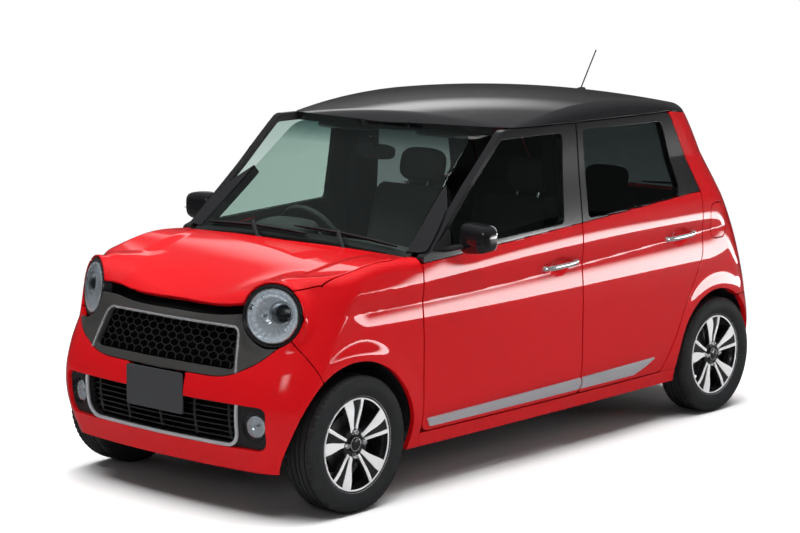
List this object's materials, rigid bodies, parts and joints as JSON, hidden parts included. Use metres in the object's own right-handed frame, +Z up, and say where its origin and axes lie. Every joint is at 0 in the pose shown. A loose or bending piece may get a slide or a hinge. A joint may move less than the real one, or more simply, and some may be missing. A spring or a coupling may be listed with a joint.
{
  "type": "five-door kei car",
  "caption": "Small boxy five-door passenger car with round headlamps, opening doors, bonnet, tailgate and fuel lid, steered front wheels and turning road wheels.",
  "frame": {"origin": "on the ground under the middle of the car, half-way between the axles", "axes": "+X forward, +Y to the car's left, +Z up"},
  "size_m": [3.4006, 1.81, 1.7139],
  "materials": {
    "body_red": "bright red gloss paint",
    "gloss_black": "black gloss paint",
    "mask_grey": "dark grey satin plastic",
    "black_plastic": "black grained plastic",
    "clear_glass": "clear safety glass, green tint",
    "privacy_glass": "dark privacy glass",
    "lens_clear": "clear lamp lens",
    "lamp_red": "red lamp lens",
    "lamp_body": "black lamp body",
    "under_steel": "black chassis paint",
    "bare_steel": "bare steel",
    "cast": "cast iron",
    "alloy": "machined alloy with black pockets",
    "tyre": "black tyre rubber",
    "trim": "dark cabin plastic",
    "seat_cloth": "dark woven cloth"
  },
  "bodies": {
    "body": {"windscreen": "clear_glass", "roof": "gloss_black", "front_pillars": "gloss_black", "sills": "body_red", "door_pillars": "gloss_black", "tail_lamps": "lamp_red", "quarter_left": "body_red", "quarter_right": "body_red", "rear_bumper": "body_red", "grille_panel": "mask_grey", "front_bumper": "body_red", "plate_board": "black_plastic", "wings": "body_red", "cowl": "black_plastic", "headlamps": "lamp_body", "headlamp_lenses": "lens_clear", "upper_grille": "black_plastic", "lower_grille": "black_plastic", "fog_lamps": "lens_clear", "floor_pan": "under_steel", "front_frame": "under_steel", "radiator": "under_steel", "engine": "cast", "wheelhouses": "black_plastic", "suspension_arms": "under_steel", "rear_axle": "under_steel", "exhaust": "bare_steel", "fuel_tank": "black_plastic", "dashboard": "trim", "front_seats": "seat_cloth", "rear_seat": "seat_cloth", "inner_mirror": "black_plastic", "antenna": "black_plastic"},
    "bonnet": {"bonnet": "body_red"},
    "tailgate": {"tailgate": "body_red", "tailgate_glass": "privacy_glass"},
    "fuel_lid": {"fuel_lid": "body_red"},
    "steering_wheel": {"steering_wheel": "trim"},
    "door_front_left": {"door_front_left": "body_red", "glass_front_left": "clear_glass", "mirror_left": "gloss_black"},
    "wheel_front_left": {"tyre_front_left": "tyre", "rim_front_left": "alloy"},
    "door_front_right": {"door_front_right": "body_red", "glass_front_right": "clear_glass", "mirror_right": "gloss_black"},
    "wheel_front_right": {"tyre_front_right": "tyre", "rim_front_right": "alloy"},
    "door_rear_left": {"door_rear_left": "body_red", "glass_rear_left": "privacy_glass"},
    "wheel_rear_left": {"tyre_rear_left": "tyre", "rim_rear_left": "alloy"},
    "door_rear_right": {"door_rear_right": "body_red", "glass_rear_right": "privacy_glass"},
    "wheel_rear_right": {"tyre_rear_right": "tyre", "rim_rear_right": "alloy"},
    "knuckle_left": {"knuckle_left": "cast"},
    "knuckle_right": {"knuckle_right": "cast"}
  },
  "joints": [
    {"name": "door_front_left_swing", "type": "hinge", "parent": "body", "child": "door_front_left", "pos_m": [0.816, 0.707, 0.64], "axis": [0, 0, -1], "range_deg": [0, 65]},
    {"name": "door_front_right_swing", "type": "hinge", "parent": "body", "child": "door_front_right", "pos_m": [0.816, -0.707, 0.64], "axis": [0, 0, 1], "range_deg": [0, 65]},
    {"name": "door_rear_left_swing", "type": "hinge", "parent": "body", "child": "door_rear_left", "pos_m": [-0.236, 0.717, 0.64], "axis": [0, 0, -1], "range_deg": [0, 65]},
    {"name": "door_rear_right_swing", "type": "hinge", "parent": "body", "child": "door_rear_right", "pos_m": [-0.236, -0.717, 0.64], "axis": [0, 0, 1], "range_deg": [0, 65]},
    {"name": "bonnet_lift", "type": "hinge", "parent": "body", "child": "bonnet", "pos_m": [0.942, 0, 0.958], "axis": [0, -1, 0], "range_deg": [0, 50]},
    {"name": "tailgate_lift", "type": "hinge", "parent": "body", "child": "tailgate", "pos_m": [-1.258, 0, 1.465], "axis": [0, 1, 0], "range_deg": [0, 80]},
    {"name": "fuel_lid_swing", "type": "hinge", "parent": "body", "child": "fuel_lid", "pos_m": [-1.236, 0.704, 0.93], "axis": [0, 0, -1], "range_deg": [0, 90]},
    {"name": "steer_left", "type": "hinge", "parent": "body", "child": "knuckle_left", "pos_m": [1.26, 0.588, 0.168], "axis": [0, -0.2104, 0.9776], "range_deg": [-35, 35]},
    {"name": "steer_right", "type": "hinge", "parent": "body", "child": "knuckle_right", "pos_m": [1.26, -0.588, 0.168], "axis": [0, 0.2104, 0.9776], "range_deg": [-35, 35]},
    {"name": "steering_wheel_turn", "type": "hinge", "parent": "body", "child": "steering_wheel", "pos_m": [0.43, -0.33, 0.905], "axis": [-0.8988, 0, 0.4384], "range_deg": [-540, 540]},
    {"name": "wheel_front_left_spin", "type": "hinge", "parent": "knuckle_left", "child": "wheel_front_left", "pos_m": [1.26, 0.65, 0.279], "axis": [0, 1, 0], "continuous": true},
    {"name": "wheel_front_right_spin", "type": "hinge", "parent": "knuckle_right", "child": "wheel_front_right", "pos_m": [1.26, -0.65, 0.279], "axis": [0, 1, 0], "continuous": true},
    {"name": "wheel_rear_left_spin", "type": "hinge", "parent": "body", "child": "wheel_rear_left", "pos_m": [-1.26, 0.65, 0.279], "axis": [0, 1, 0], "continuous": true},
    {"name": "wheel_rear_right_spin", "type": "hinge", "parent": "body", "child": "wheel_rear_right", "pos_m": [-1.26, -0.65, 0.279], "axis": [0, 1, 0], "continuous": true}
  ],
  "couplings": [
    {"joint": "steer_right", "follows": "steer_left", "ratio": 1},
    {"joint": "steering_wheel_turn", "follows": "steer_left", "ratio": 15}
  ]
}
